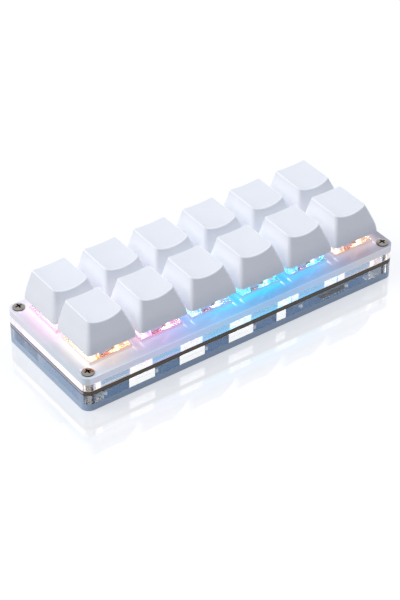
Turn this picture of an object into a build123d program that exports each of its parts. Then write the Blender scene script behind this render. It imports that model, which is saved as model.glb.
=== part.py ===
# Twelve-key one-handed keypad. Acrylic sheets are clamped round a circuit board that carries
# twelve press-down key switches. The origin is the middle of the underside, +Y is the far side.
from build123d import *
from math import cos, pi, sin, sqrt
import os

os.makedirs("parts", exist_ok=True)

# Key field
key_columns = 6
key_rows = 2
key_pitch = 19.05
key_travel = 4.0

# Case sheets, from the desk upwards
case_margin_x = 3.5
case_margin_y = 3.7
case_corner_radius = 3.0
bottom_sheet = 2.5
spacer_sheet = 3.5
board_thickness = 1.6
guide_sheet = 2.6
switch_sheet = 2.4

# Corner screws and their sunk nuts
screw_inset = 3.0
screw_diameter = 2.0
screw_hole_gap = 0.1
screw_head_diameter = 4.0
screw_head_height = 0.8
screw_head_edge = 0.35
screw_recess_length = 2.2
screw_recess_width = 0.6
screw_recess_depth = 0.6
screw_thread_gap = 0.05
screw_end_gap = 0.5
nut_width = 4.0
nut_height = 1.6
nut_gap = 0.1
nut_sink = 0.3

# Keycap
cap_gap = 0.85
cap_wall = 1.0
cap_height = 9.65
cap_skirt_band = 2.0
cap_skirt_draft = 0.15
cap_base_corner = 1.5
cap_top_width = 12.2
cap_top_depth = 13.2
cap_top_shift = 1.5
cap_top_corner = 1.0
cap_dish_front = 1.3
cap_dish_back = 0.5
cap_dish_lap = 0.1
cap_roof = 1.4
cap_tube_diameter = 5.4
cap_tube_recess = 2.15
cap_seat_gap = 0.1

# Switch housing: the lower half stands on the board, with its flange on the switch plate
flange_gap = 0.3
flange_lip = 0.85
flange_thickness = 1.0
housing_fit = 0.1
guide_gap = 0.2
housing_floor = 1.2
housing_wall = 1.0
housing_chamfer = 0.4
cover_setback = 0.4
cover_height = 5.6
cover_rim_x = 1.6
cover_rim_y = 1.7
cover_wall = 0.9
cover_roof = 1.0
partition_wall = 0.7

# Pins and contacts, at the standard places for this kind of switch
pin_far_x = 3.81
pin_far_y = 2.54
pin_near_x = 2.54
pin_near_y = 5.08
pin_width = 0.9
pin_below_board = 1.6
pin_slot_gap = 0.05
pin_plating_gap = 0.12
leaf_thickness = 0.3
leaf_height = 2.6
leaf_lift = 0.4
blade_width = 2.0
blade_height = 3.6
contact_break = 0.28
solder_diameter = 1.5
solder_height = 0.9
solder_taper = 8

# Slider
leaf_slider_gap = 0.16
slider_depth = 5.6
slider_gap = 0.2
slider_back_gap = 0.3
slider_wall = 0.5
slider_proud = 0.2
stem_floor_gap = 0.4
cross_length = 4.0
cross_thickness = 1.2
cross_height = 3.6
cross_fit = 0.05
wing_reach = 0.7
wing_depth = 1.8
wing_stop_gap = 0.15
leg_spacing = 4.0
leg_width = 1.0
leg_height = 3.0
leg_gap = 0.35
leg_ramp = 0.6
pole_diameter = 2.2
pole_tip_gap = 1.0
well_gap = 0.35
well_floor_gap = 0.6
post_diameter = 4.0
post_floor = 0.6
post_hole_gap = 0.1

# Return spring
spring_turns = 4
steps_per_turn = 6
spring_wire = 0.3
spring_diameter = 3.6
spring_seat_gap = 0.02
spring_socket_depth = 2.6

# Lights on the board, one behind each switch
led_width = 3.5
led_depth = 2.8
led_height = 1.4
led_lens_diameter = 2.4
led_lens_depth = 0.4
led_gap = 0.2

# Pockets in the spacer
pocket_gap = 0.14
pocket_end_gap = 2.5
bay_reach = 5.9

# Chip and small parts under the board
mcu_length = 9.9
mcu_width = 3.9
mcu_height = 1.45
mcu_lift = 0.1
mcu_front_gap = 0.6
lead_count = 8
lead_pitch = 1.27
lead_width = 0.42
lead_thickness = 0.2
lead_reach = 1.05
lead_foot = 0.5
lead_rise = 0.75
diode_length = 2.7
diode_width = 1.6
diode_height = 1.1
diode_tab = 0.5
diode_tab_width = 0.9
diode_tab_thickness = 0.2
diode_offset = 5.4
chip_length = 2.0
chip_width = 1.25
chip_spacing = 2.6
chip_row_spacing = 3.0
chip_count = 4
capacitor_height = 0.9
resistor_height = 0.5

# Inlet at the far side
usb_width = 8.94
usb_height = 3.16
usb_length = 7.35
usb_corner = 1.25
usb_wall = 0.3
usb_gap = 0.15
usb_setback = 0.1
usb_block_depth = 1.8
tongue_width = 6.7
tongue_thickness = 0.7
tongue_length = 4.4

# Levels, measured from the desk
board_bottom = bottom_sheet + spacer_sheet
board_top = board_bottom + board_thickness
guide_top = board_top + guide_sheet
plate_top = guide_top + switch_sheet
cover_z = plate_top + flange_thickness
cover_top = cover_z + cover_height
roof_z = cover_top - cover_roof
shoulder_z = cover_top + slider_proud
floor_z = board_top + housing_floor
slider_bottom = floor_z + key_travel + stem_floor_gap
spring_seat_z = slider_bottom + spring_socket_depth
pole_tip_z = floor_z + pole_tip_gap
well_bottom = pole_tip_z - key_travel - well_floor_gap
post_bottom = well_bottom - post_floor
pin_bottom = board_bottom - pin_below_board
cap_skirt_z = shoulder_z + cap_seat_gap - cap_tube_recess

# Sizes that follow from the driving ones
case_length = key_columns * key_pitch + 2 * case_margin_x
case_width = key_rows * key_pitch + 2 * case_margin_y
cap_base = key_pitch - cap_gap
cap_inner = cap_base - 2 * cap_wall
flange_width = cap_inner - 2 * flange_gap
housing_width = flange_width - 2 * flange_lip
cavity_half = housing_width / 2 - housing_wall
slider_width = 2 * (pin_far_x - leaf_thickness / 2 - leaf_slider_gap)
opening_width = slider_width + 2 * slider_gap
opening_depth = slider_depth + 2 * slider_gap
cover_base = flange_width - 2 * cover_setback
cover_top_width = opening_width + 2 * cover_rim_x
cover_top_depth = opening_depth + 2 * cover_rim_y
cavity_back = slider_depth / 2 + slider_back_gap
led_slot_front = cavity_back + partition_wall
led_y = led_slot_front + led_gap + led_depth / 2
led_slot_width = led_width + 2 * led_gap
led_slot_depth = led_depth + 2 * led_gap
leaf_y = pin_near_y - leaf_thickness - contact_break
leg_front = leaf_y - leaf_thickness / 2 - leg_gap
screw_hole_diameter = screw_diameter + 2 * screw_hole_gap
pin_slot_length = pin_width + 2 * pin_plating_gap
pin_slot_width = leaf_thickness + 2 * pin_plating_gap

# Places of the keys, far row first, each row from left to right
column_places = [(column - (key_columns - 1) / 2) * key_pitch for column in range(key_columns)]
row_places = [((key_rows - 1) / 2 - row) * key_pitch for row in range(key_rows)]
key_points = [(x, y) for y in row_places for x in column_places]
screw_points = [
    (side * (case_length / 2 - screw_inset), end * (case_width / 2 - screw_inset))
    for side in (-1, 1)
    for end in (-1, 1)
]
front_pin = (-pin_near_x, -pin_near_y)
side_pin = (pin_far_x, -pin_far_y)

# Spacer pockets: one slot under each of the first columns, a bay under the last two
pocket_width = 2 * (pin_far_x + solder_diameter / 2 + pocket_gap)
pocket_end = row_places[0] + pin_near_y + pocket_end_gap
bay_left = column_places[-2] - pocket_width / 2 - bay_reach
bay_right = column_places[-1] + pocket_width / 2
usb_x = (column_places[-2] + column_places[-1]) / 2
usb_z = board_bottom - usb_height / 2
usb_mouth = case_width / 2 - usb_setback
usb_slot_width = usb_width + 2 * usb_gap

# Switch plate: the milky sheet on top, with a square cut-out that grips each switch
with BuildPart() as switch_plate:
    with BuildSketch(Plane.XY.offset(guide_top)):
        RectangleRounded(case_length, case_width, case_corner_radius)
        with Locations(*key_points):
            Rectangle(housing_width + 2 * housing_fit, housing_width + 2 * housing_fit, mode=Mode.SUBTRACT)
        with Locations(*screw_points):
            Circle(screw_hole_diameter / 2, mode=Mode.SUBTRACT)
    extrude(amount=switch_sheet)
switch_plate.part.label = "switch_plate"
export_step(switch_plate.part, "parts/switch_plate.step")

# Guide plate: the clear sheet on the board that spreads the light, looser round each switch
with BuildPart() as guide_plate:
    with BuildSketch(Plane.XY.offset(board_top)):
        RectangleRounded(case_length, case_width, case_corner_radius)
        with Locations(*key_points):
            Rectangle(housing_width + 2 * guide_gap, housing_width + 2 * guide_gap, mode=Mode.SUBTRACT)
            with Locations((0, led_slot_front)):
                Rectangle(led_slot_width, led_slot_depth, align=(Align.CENTER, Align.MIN), mode=Mode.SUBTRACT)
        with Locations(*screw_points):
            Circle(screw_hole_diameter / 2, mode=Mode.SUBTRACT)
    extrude(amount=guide_sheet)
guide_plate.part.label = "guide_plate"
export_step(guide_plate.part, "parts/guide_plate.step")

# Circuit board: holes for the posts and pins of each switch
with BuildPart() as circuit_board:
    with BuildSketch(Plane.XY.offset(board_bottom)):
        RectangleRounded(case_length, case_width, case_corner_radius)
        with Locations(*screw_points):
            Circle(screw_hole_diameter / 2, mode=Mode.SUBTRACT)
        with Locations(*key_points):
            Circle(post_diameter / 2 + post_hole_gap, mode=Mode.SUBTRACT)
            with Locations(front_pin):
                Rectangle(pin_slot_length, pin_slot_width, mode=Mode.SUBTRACT)
            with Locations(side_pin):
                Rectangle(pin_slot_width, pin_slot_length, mode=Mode.SUBTRACT)
    extrude(amount=board_thickness)
circuit_board.part.label = "circuit_board"
export_step(circuit_board.part, "parts/circuit_board.step")

# Spacer sheet: solid round the rim and between the columns, open to the far side at the inlet
with BuildPart() as spacer_plate:
    with BuildSketch(Plane.XY.offset(bottom_sheet)):
        RectangleRounded(case_length, case_width, case_corner_radius)
        with Locations(*[(x, 0) for x in column_places[:-2]]):
            Rectangle(pocket_width, 2 * pocket_end, mode=Mode.SUBTRACT)
        with Locations(((bay_left + bay_right) / 2, 0)):
            Rectangle(bay_right - bay_left, 2 * pocket_end, mode=Mode.SUBTRACT)
        with Locations((usb_x, case_width / 2)):
            Rectangle(
                usb_slot_width,
                case_width / 2,
                align=(Align.CENTER, Align.MAX),
                mode=Mode.SUBTRACT,
            )
        with Locations(*screw_points):
            Circle(screw_hole_diameter / 2, mode=Mode.SUBTRACT)
    extrude(amount=spacer_sheet)
spacer_plate.part.label = "spacer_plate"
export_step(spacer_plate.part, "parts/spacer_plate.step")

# Bottom sheet: screw holes that open into six-sided nut pockets underneath
with BuildPart() as bottom_plate:
    with BuildSketch():
        RectangleRounded(case_length, case_width, case_corner_radius)
        with Locations(*screw_points):
            Circle(screw_hole_diameter / 2, mode=Mode.SUBTRACT)
    extrude(amount=bottom_sheet)
    with BuildSketch():
        with Locations(*screw_points):
            RegularPolygon(nut_width / 2 + nut_gap, 6, major_radius=False)
    extrude(amount=nut_sink + nut_height, mode=Mode.SUBTRACT)
bottom_plate.part.label = "bottom_plate"
export_step(bottom_plate.part, "parts/bottom_plate.step")

# Corner screws: domed heads with a cross recess, shanks down through every sheet into the nuts
head_crown = screw_head_height - screw_head_edge
head_crown_radius = ((screw_head_diameter / 2) ** 2 + head_crown**2) / (2 * head_crown)
with BuildPart() as screw_form:
    with BuildSketch(Plane.XZ):
        with BuildLine():
            sides = Polyline(
                (0, plate_top + screw_head_height),
                (0, screw_end_gap),
                (screw_diameter / 2, screw_end_gap),
                (screw_diameter / 2, plate_top),
                (screw_head_diameter / 2, plate_top),
                (screw_head_diameter / 2, plate_top + screw_head_edge),
            )
            RadiusArc(sides @ 1, sides @ 0, -head_crown_radius)
        make_face()
    revolve(axis=Axis.Z)
    with BuildSketch(Plane.XY.offset(plate_top + screw_head_height - screw_recess_depth)):
        Rectangle(screw_recess_length, screw_recess_width)
        Rectangle(screw_recess_width, screw_recess_length)
    extrude(amount=screw_recess_depth, mode=Mode.SUBTRACT)
with BuildPart() as case_screws:
    with Locations(*screw_points):
        add(screw_form.part)
case_screws.part.label = "case_screws"
export_step(case_screws.part, "parts/case_screws.step")

# Nuts, flush below the desk side of the bottom sheet
with BuildPart() as case_nuts:
    with BuildSketch(Plane.XY.offset(nut_sink)):
        with Locations(*screw_points):
            RegularPolygon(nut_width / 2, 6, major_radius=False)
            Circle(screw_diameter / 2 + screw_thread_gap, mode=Mode.SUBTRACT)
    extrude(amount=nut_height)
case_nuts.part.label = "case_nuts"
export_step(case_nuts.part, "parts/case_nuts.step")

# Lower housing: a square box with a flange, a cavity, a slot for the light and a locating post
with BuildPart() as lower_form:
    with BuildSketch(Plane.XY.offset(board_top)):
        Rectangle(housing_width, housing_width)
    extrude(amount=plate_top - board_top)
    chamfer(lower_form.faces().sort_by(Axis.Z)[0].edges(), length=housing_chamfer)
    with BuildSketch(Plane.XY.offset(plate_top)):
        Rectangle(flange_width, flange_width)
    extrude(amount=flange_thickness)
    with BuildSketch(Plane.XY.offset(floor_z)):
        with Locations((0, cavity_back)):
            Rectangle(2 * cavity_half, cavity_half + cavity_back, align=(Align.CENTER, Align.MAX))
    extrude(amount=cover_z - floor_z, mode=Mode.SUBTRACT)
    with BuildSketch(Plane.XY.offset(post_bottom)):
        Circle(post_diameter / 2)
    extrude(amount=floor_z - post_bottom)
    with BuildSketch(Plane.XY.offset(well_bottom)):
        RegularPolygon(pole_diameter / 2 + well_gap, 6, major_radius=False)
    extrude(amount=floor_z - well_bottom, mode=Mode.SUBTRACT)
    with BuildSketch(Plane.XY.offset(board_top)):
        with Locations((0, led_slot_front)):
            Rectangle(led_slot_width, flange_width / 2, align=(Align.CENTER, Align.MIN))
        with Locations(front_pin):
            Rectangle(pin_width + 2 * pin_slot_gap, leaf_thickness + 2 * pin_slot_gap)
        with Locations(side_pin):
            Rectangle(leaf_thickness + 2 * pin_slot_gap, pin_width + 2 * pin_slot_gap)
    extrude(amount=plate_top - board_top, mode=Mode.SUBTRACT)
    with BuildSketch(Plane.XY.offset(plate_top)):
        with Locations((0, led_slot_front)):
            Rectangle(led_slot_width, led_slot_depth, align=(Align.CENTER, Align.MIN))
    extrude(amount=flange_thickness, mode=Mode.SUBTRACT)
with BuildPart() as switch_lower_housings:
    with Locations(*key_points):
        add(lower_form.part)
switch_lower_housings.part.label = "switch_lower_housings"
export_step(switch_lower_housings.part, "parts/switch_lower_housings.step")


def crossed_profiles(from_front, from_side):
    """A block with one outline seen from the front and another seen from the side."""
    with BuildPart() as block:
        with BuildSketch(Plane.XZ):
            with BuildLine():
                Polyline(*from_front, close=True)
            make_face()
        extrude(amount=key_pitch, both=True)
        with BuildSketch(Plane.YZ):
            with BuildLine():
                Polyline(*from_side, close=True)
            make_face()
        extrude(amount=key_pitch, both=True, mode=Mode.INTERSECT)
    return block.part


# Cover: a tapered clear shell with the slider's opening in its roof and a window for the light
roof_share = (cover_height - cover_roof) / cover_height
roof_half_x = cover_base / 2 + (cover_top_width - cover_base) / 2 * roof_share - cover_wall
roof_half_y = cover_base / 2 + (cover_top_depth - cover_base) / 2 * roof_share - cover_wall
cover_block = crossed_profiles(
    [
        (-cover_base / 2, cover_z),
        (cover_base / 2, cover_z),
        (cover_top_width / 2, cover_top),
        (-cover_top_width / 2, cover_top),
    ],
    [
        (-cover_base / 2, cover_z),
        (cover_base / 2, cover_z),
        (cover_top_depth / 2, cover_top),
        (-cover_top_depth / 2, cover_top),
    ],
)
cover_hollow = crossed_profiles(
    [
        (-cavity_half, cover_z),
        (cavity_half, cover_z),
        (roof_half_x, roof_z),
        (-roof_half_x, roof_z),
    ],
    [
        (-cavity_half, cover_z),
        (cavity_back, cover_z),
        (cavity_back, roof_z),
        (-roof_half_y, roof_z),
    ],
)
with BuildPart() as cover_form:
    add(cover_block)
    add(cover_hollow, mode=Mode.SUBTRACT)
    with BuildSketch(Plane.XY.offset(roof_z)):
        Rectangle(opening_width, opening_depth)
    extrude(amount=cover_roof, mode=Mode.SUBTRACT)
    with BuildSketch(Plane.XY.offset(cover_z)):
        with Locations((0, led_slot_front)):
            Rectangle(led_slot_width, led_slot_depth, align=(Align.CENTER, Align.MIN))
    extrude(amount=cover_height, mode=Mode.SUBTRACT)
with BuildPart() as switch_covers:
    with Locations(*key_points):
        add(cover_form.part)
switch_covers.part.label = "switch_covers"
export_step(switch_covers.part, "parts/switch_covers.step")

# Fixed contacts: an upright blade over the front pin
with BuildPart() as blade_form:
    with BuildSketch(Plane.XY.offset(pin_bottom)):
        with Locations(front_pin):
            Rectangle(pin_width, leaf_thickness)
    extrude(amount=floor_z - pin_bottom)
    with BuildSketch(Plane.XY.offset(floor_z)):
        with Locations(front_pin):
            Rectangle(blade_width, leaf_thickness)
    extrude(amount=blade_height)
with BuildPart() as fixed_contacts:
    with Locations(*key_points):
        add(blade_form.part)
fixed_contacts.part.label = "fixed_contacts"
export_step(fixed_contacts.part, "parts/fixed_contacts.step")

# Moving contacts: a leaf bent round from the side pin to stand before the blade
with BuildPart() as leaf_form:
    with BuildSketch(Plane.XY.offset(pin_bottom)):
        with Locations(side_pin):
            Rectangle(leaf_thickness, pin_width)
    extrude(amount=floor_z + leaf_lift + leaf_height - pin_bottom)
    with BuildSketch(Plane.XY.offset(floor_z + leaf_lift)):
        with BuildLine():
            Polyline(
                (pin_far_x, -pin_far_y),
                (pin_far_x, -leaf_y),
                (-pin_near_x - blade_width / 2, -leaf_y),
            )
        trace(line_width=leaf_thickness)
    extrude(amount=leaf_height)
with BuildPart() as moving_contacts:
    with Locations(*key_points):
        add(leaf_form.part)
moving_contacts.part.label = "moving_contacts"
export_step(moving_contacts.part, "parts/moving_contacts.step")

# Solder joints: a six-sided cone round each pin under the board
with BuildPart() as solder_joints:
    with BuildSketch(Plane.XY.offset(board_bottom)):
        with Locations(*key_points):
            with Locations(front_pin, side_pin):
                RegularPolygon(solder_diameter / 2, 6)
    extrude(amount=-solder_height, taper=solder_taper)
    with BuildSketch(Plane.XY.offset(board_bottom)):
        with Locations(*key_points):
            with Locations(front_pin):
                Rectangle(pin_width + 2 * pin_slot_gap, leaf_thickness + 2 * pin_slot_gap)
            with Locations(side_pin):
                Rectangle(leaf_thickness + 2 * pin_slot_gap, pin_width + 2 * pin_slot_gap)
    extrude(amount=-solder_height, mode=Mode.SUBTRACT)
solder_joints.part.label = "solder_joints"
export_step(solder_joints.part, "parts/solder_joints.step")

# Lights: square packages with a round lens recess, on the board in each housing's slot
with BuildPart() as rgb_leds:
    with BuildSketch(Plane.XY.offset(board_top)):
        with Locations(*key_points):
            with Locations((0, led_y)):
                Rectangle(led_width, led_depth)
    extrude(amount=led_height)
    with BuildSketch(Plane.XY.offset(board_top + led_height)):
        with Locations(*key_points):
            with Locations((0, led_y)):
                RegularPolygon(led_lens_diameter / 2, 8)
    extrude(amount=-led_lens_depth, mode=Mode.SUBTRACT)
rgb_leds.part.label = "rgb_leds"
export_step(rgb_leds.part, "parts/rgb_leds.step")

# Matrix diodes under the board
with BuildPart() as diodes:
    with BuildSketch(Plane.XY.offset(board_bottom)):
        with Locations(*key_points):
            with Locations((0, diode_offset)):
                Rectangle(diode_length, diode_width)
    extrude(amount=-diode_height)
    with BuildSketch(Plane.XY.offset(board_bottom)):
        with Locations(*key_points):
            with Locations((0, diode_offset)):
                Rectangle(diode_length + 2 * diode_tab, diode_tab_width)
    extrude(amount=-diode_tab_thickness)
diodes.part.label = "diodes"
export_step(diodes.part, "parts/diodes.step")

# Chip: a flat package between the pins of the last two columns, near the front
mcu_x = usb_x + (pin_far_x - pin_near_x) / 2
mcu_y = -pocket_end + mcu_front_gap + mcu_width / 2 + lead_reach
with BuildPart() as mcu_chip:
    with BuildSketch(Plane.XY.offset(board_bottom - mcu_lift)):
        with Locations((mcu_x, mcu_y)):
            Rectangle(mcu_length, mcu_width)
    extrude(amount=-mcu_height)
    chamfer(mcu_chip.faces().sort_by(Axis.Z)[0].edges(), length=lead_thickness)
mcu_chip.part.label = "mcu_chip"
export_step(mcu_chip.part, "parts/mcu_chip.step")

# Chip leads: gull wings from the package's long sides to the board
with BuildPart() as lead_form:
    with BuildSketch(Plane.YZ):
        with BuildLine():
            Polyline(
                (mcu_width / 2, board_bottom - lead_rise),
                (mcu_width / 2 + lead_reach - lead_foot, board_bottom - lead_rise),
                (mcu_width / 2 + lead_reach - lead_foot, board_bottom - lead_thickness / 2),
                (mcu_width / 2 + lead_reach, board_bottom - lead_thickness / 2),
            )
        trace(line_width=lead_thickness)
    extrude(amount=lead_width / 2, both=True)
    split(bisect_by=Plane.XZ.offset(-mcu_width / 2), keep=Keep.BOTTOM)
    split(bisect_by=Plane.XY.offset(board_bottom), keep=Keep.BOTTOM)
    mirror(about=Plane.XZ)
with BuildPart() as mcu_leads:
    with Locations((mcu_x, mcu_y)):
        with GridLocations(lead_pitch, 0, lead_count, 1):
            add(lead_form.part)
mcu_leads.part.label = "mcu_leads"
export_step(mcu_leads.part, "parts/mcu_leads.step")

# Capacitors and resistors between the chip and the inlet
chip_row_y = usb_mouth - usb_length - chip_row_spacing
with BuildPart() as capacitors:
    with BuildSketch(Plane.XY.offset(board_bottom)):
        with Locations((usb_x, chip_row_y)):
            with GridLocations(chip_spacing, 0, chip_count, 1):
                Rectangle(chip_width, chip_length)
    extrude(amount=-capacitor_height)
capacitors.part.label = "capacitors"
export_step(capacitors.part, "parts/capacitors.step")
with BuildPart() as resistors:
    with BuildSketch(Plane.XY.offset(board_bottom)):
        with Locations((usb_x, chip_row_y - chip_row_spacing)):
            with GridLocations(chip_spacing, 0, chip_count, 1):
                Rectangle(chip_width, chip_length)
    extrude(amount=-resistor_height)
resistors.part.label = "resistors"
export_step(resistors.part, "parts/resistors.step")

# Inlet shell: a drawn steel sleeve under the board, open at the far side
usb_plane = Plane((usb_x, usb_mouth, usb_z), x_dir=(1, 0, 0), z_dir=(0, -1, 0))
usb_block_plane = usb_plane.offset(usb_length - usb_block_depth)
with BuildPart() as usb_shell:
    with BuildSketch(usb_plane):
        RectangleRounded(usb_width, usb_height, usb_corner)
        offset(amount=-usb_wall, mode=Mode.SUBTRACT)
    extrude(amount=usb_length)
usb_shell.part.label = "usb_shell"
export_step(usb_shell.part, "parts/usb_shell.step")

# Inlet core: a moulded block that fills the shell's inner end and carries the tongue
with BuildPart() as usb_tongue:
    with BuildSketch(usb_block_plane):
        RectangleRounded(usb_width - 2 * usb_wall, usb_height - 2 * usb_wall, usb_corner - usb_wall)
    extrude(amount=usb_block_depth)
    with BuildSketch(usb_block_plane):
        Rectangle(tongue_width, tongue_thickness)
    extrude(amount=-tongue_length)
usb_tongue.part.label = "usb_tongue"
export_step(usb_tongue.part, "parts/usb_tongue.step")

# Slider: a hollow block with the cross on top, stop wings, two contact legs and a guide pole
with BuildPart() as slider_form:
    with BuildSketch(Plane.XY.offset(slider_bottom)):
        Rectangle(slider_width, slider_depth)
    extrude(amount=shoulder_z - slider_bottom)
    with BuildSketch(Plane.XY.offset(slider_bottom)):
        Rectangle(slider_width + 2 * wing_reach, wing_depth)
    extrude(amount=roof_z - wing_stop_gap - slider_bottom)
    with BuildSketch(Plane.YZ):
        with BuildLine():
            Polyline(
                (0, slider_bottom),
                (-leg_front + leg_ramp, slider_bottom),
                (-leg_front, slider_bottom + leg_ramp),
                (-leg_front, slider_bottom + leg_height),
                (0, slider_bottom + leg_height),
                close=True,
            )
        make_face()
    extrude(amount=leg_spacing / 2 + leg_width / 2, both=True)
    with BuildSketch(Plane.XY.offset(slider_bottom)):
        with Locations((0, -slider_depth / 2)):
            Rectangle(leg_spacing - leg_width, leg_front, align=(Align.CENTER, Align.MAX))
    extrude(amount=leg_height, mode=Mode.SUBTRACT)
    with BuildSketch(Plane.XY.offset(slider_bottom)):
        Rectangle(slider_width - 2 * slider_wall, slider_depth - 2 * slider_wall)
    extrude(amount=spring_socket_depth, mode=Mode.SUBTRACT)
    with BuildSketch(Plane.XY.offset(pole_tip_z)):
        RegularPolygon(pole_diameter / 2, 8)
    extrude(amount=spring_seat_z - pole_tip_z)
    with BuildSketch(Plane.XY.offset(shoulder_z)):
        Rectangle(cross_length, cross_thickness)
        Rectangle(cross_thickness, cross_length)
    extrude(amount=cross_height)
for number, (x, y) in enumerate(key_points, 1):
    with BuildPart() as slider:
        with Locations((x, y)):
            add(slider_form.part)
    slider.part.label = f"slider_{number}"
    export_step(slider.part, f"parts/slider_{number}.step")

# Keycap: a leaning square shell whose top has a dish, shallower towards the back, and a tube that
# grips the slider's cross
cap_band_z = cap_skirt_z + cap_skirt_band
cap_top_z = cap_skirt_z + cap_height
cap_inner_roof = cap_top_z - cap_dish_front - cap_roof
inner_share = (cap_inner_roof - cap_band_z) / (cap_top_z - cap_band_z)
inner_width = cap_inner - (cap_base - cap_top_width) * inner_share
inner_depth = cap_inner - (cap_base - cap_top_depth) * inner_share
inner_shift = cap_top_shift * inner_share

skirt_top = cap_base - 2 * cap_skirt_draft
cap_hollow = crossed_profiles(
    [
        (-cap_inner / 2, cap_skirt_z),
        (cap_inner / 2, cap_skirt_z),
        (cap_inner / 2 - cap_skirt_draft, cap_band_z),
        (inner_width / 2, cap_inner_roof),
        (-inner_width / 2, cap_inner_roof),
        (cap_skirt_draft - cap_inner / 2, cap_band_z),
    ],
    [
        (-cap_inner / 2, cap_skirt_z),
        (cap_inner / 2, cap_skirt_z),
        (cap_inner / 2 - cap_skirt_draft, cap_band_z),
        (inner_shift + inner_depth / 2, cap_inner_roof),
        (inner_shift - inner_depth / 2, cap_inner_roof),
        (cap_skirt_draft - cap_inner / 2, cap_band_z),
    ],
)
dish_reach = cap_top_width / 2 + cap_dish_lap
dish_half = dish_reach + cap_wall
dish_slope = (cap_dish_front - cap_dish_back) / cap_top_depth
with BuildPart() as cap_dish:
    for y in (-cap_base / 2, cap_base / 2):
        sag = cap_dish_back + dish_slope * (cap_top_shift + cap_top_depth / 2 - y)
        radius = (dish_reach**2 + sag**2) / (2 * sag)
        dish_middle = (0, cap_top_z - sag)
        dish_end_z = cap_top_z - sag + radius - sqrt(radius**2 - dish_half**2)
        with BuildSketch(Plane.XZ.offset(-y)):
            with BuildLine():
                ThreePointArc((-dish_half, dish_end_z), dish_middle, (dish_half, dish_end_z))
                Polyline(
                    (dish_half, dish_end_z),
                    (dish_half, cap_top_z + cap_height),
                    (-dish_half, cap_top_z + cap_height),
                    (-dish_half, dish_end_z),
                )
            make_face()
    loft(ruled=True)
with BuildPart() as keycap_form:
    with BuildSketch(Plane.XY.offset(cap_skirt_z)):
        RectangleRounded(cap_base, cap_base, cap_base_corner)
    with BuildSketch(Plane.XY.offset(cap_band_z)):
        RectangleRounded(skirt_top, skirt_top, cap_base_corner)
    with BuildSketch(Plane.XY.offset(cap_top_z)):
        with Locations((0, cap_top_shift)):
            RectangleRounded(cap_top_width, cap_top_depth, cap_top_corner)
    loft(ruled=True)
    add(cap_dish.part, mode=Mode.SUBTRACT)
    add(cap_hollow, mode=Mode.SUBTRACT)
    with BuildSketch(Plane.XY.offset(cap_skirt_z + cap_tube_recess)):
        RegularPolygon(cap_tube_diameter / 2, 8)
    extrude(amount=cap_inner_roof + cap_roof / 2 - cap_skirt_z - cap_tube_recess)
    with BuildSketch(Plane.XY.offset(cap_skirt_z + cap_tube_recess)):
        Rectangle(cross_length + 2 * cross_fit, cross_thickness + 2 * cross_fit)
        Rectangle(cross_thickness + 2 * cross_fit, cross_length + 2 * cross_fit)
    extrude(amount=cross_height, mode=Mode.SUBTRACT)
for number, (x, y) in enumerate(key_points, 1):
    with BuildPart() as keycap:
        with Locations((x, y)):
            add(keycap_form.part)
    keycap.part.label = f"keycap_{number}"
    export_step(keycap.part, f"parts/keycap_{number}.step")

# Return spring: an open coil round the pole, from the housing's floor to the slider's seat
coil_bottom = floor_z + spring_wire / 2 + spring_seat_gap
coil_top = spring_seat_z - spring_wire / 2 - spring_seat_gap
coil_rise = (coil_top - coil_bottom) / spring_turns
coil_run = pi * spring_diameter


def coil_plane(step):
    """The plane square to the wire, after this many steps round the coil."""
    angle = 2 * pi * step / steps_per_turn
    place = (
        spring_diameter / 2 * cos(angle),
        spring_diameter / 2 * sin(angle),
        coil_bottom + coil_rise * step / steps_per_turn,
    )
    return Plane(
        place,
        x_dir=(cos(angle), sin(angle), 0),
        z_dir=(-coil_run * sin(angle), coil_run * cos(angle), coil_rise),
    )


coil_planes = [coil_plane(step) for step in range(steps_per_turn * spring_turns + 1)]
with BuildPart() as spring_form:
    for plane in coil_planes:
        with BuildSketch(plane):
            RegularPolygon(spring_wire / 2, 4)
    loft(ruled=True)
for number, (x, y) in enumerate(key_points, 1):
    with BuildPart() as return_spring:
        with Locations((x, y)):
            add(spring_form.part)
    return_spring.part.label = f"return_spring_{number}"
    export_step(return_spring.part, f"parts/return_spring_{number}.step")
coil_gap = min(
    (low.origin - high.origin).length - spring_wire
    for index, low in enumerate(coil_planes)
    for high in coil_planes[index + steps_per_turn // 2 :]
)
print(f"least gap of the spring's coil to itself: {coil_gap:.2f} mm")
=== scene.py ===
import math
from collections import namedtuple

import bmesh
import bpy
from mathutils import Matrix, Quaternion, Vector


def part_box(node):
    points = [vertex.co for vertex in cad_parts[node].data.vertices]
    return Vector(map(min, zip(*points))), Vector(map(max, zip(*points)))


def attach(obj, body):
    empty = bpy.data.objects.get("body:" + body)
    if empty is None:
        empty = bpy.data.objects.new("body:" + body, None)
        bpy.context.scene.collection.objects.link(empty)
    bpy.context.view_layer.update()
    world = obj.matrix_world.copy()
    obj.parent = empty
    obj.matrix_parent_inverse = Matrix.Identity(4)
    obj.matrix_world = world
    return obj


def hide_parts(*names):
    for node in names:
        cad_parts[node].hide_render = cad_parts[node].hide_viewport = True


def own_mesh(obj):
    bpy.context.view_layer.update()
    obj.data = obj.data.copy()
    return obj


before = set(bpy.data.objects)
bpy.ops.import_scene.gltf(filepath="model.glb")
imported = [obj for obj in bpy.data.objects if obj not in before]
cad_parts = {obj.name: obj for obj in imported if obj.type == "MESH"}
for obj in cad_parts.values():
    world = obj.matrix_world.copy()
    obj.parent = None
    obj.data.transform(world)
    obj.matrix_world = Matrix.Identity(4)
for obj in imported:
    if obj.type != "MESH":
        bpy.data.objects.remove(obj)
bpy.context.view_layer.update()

# Bottom sheet: cut from blue-grey acrylic with a satin edge, and laid on the desk.
# Holes in its corners take the screws, and six-sided pockets underneath take their nuts.
mm = 0.001
sheet_round = 0.2 * mm
merge_distance = 0.002 * mm
flat_angle = math.radians(0.5)
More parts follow.
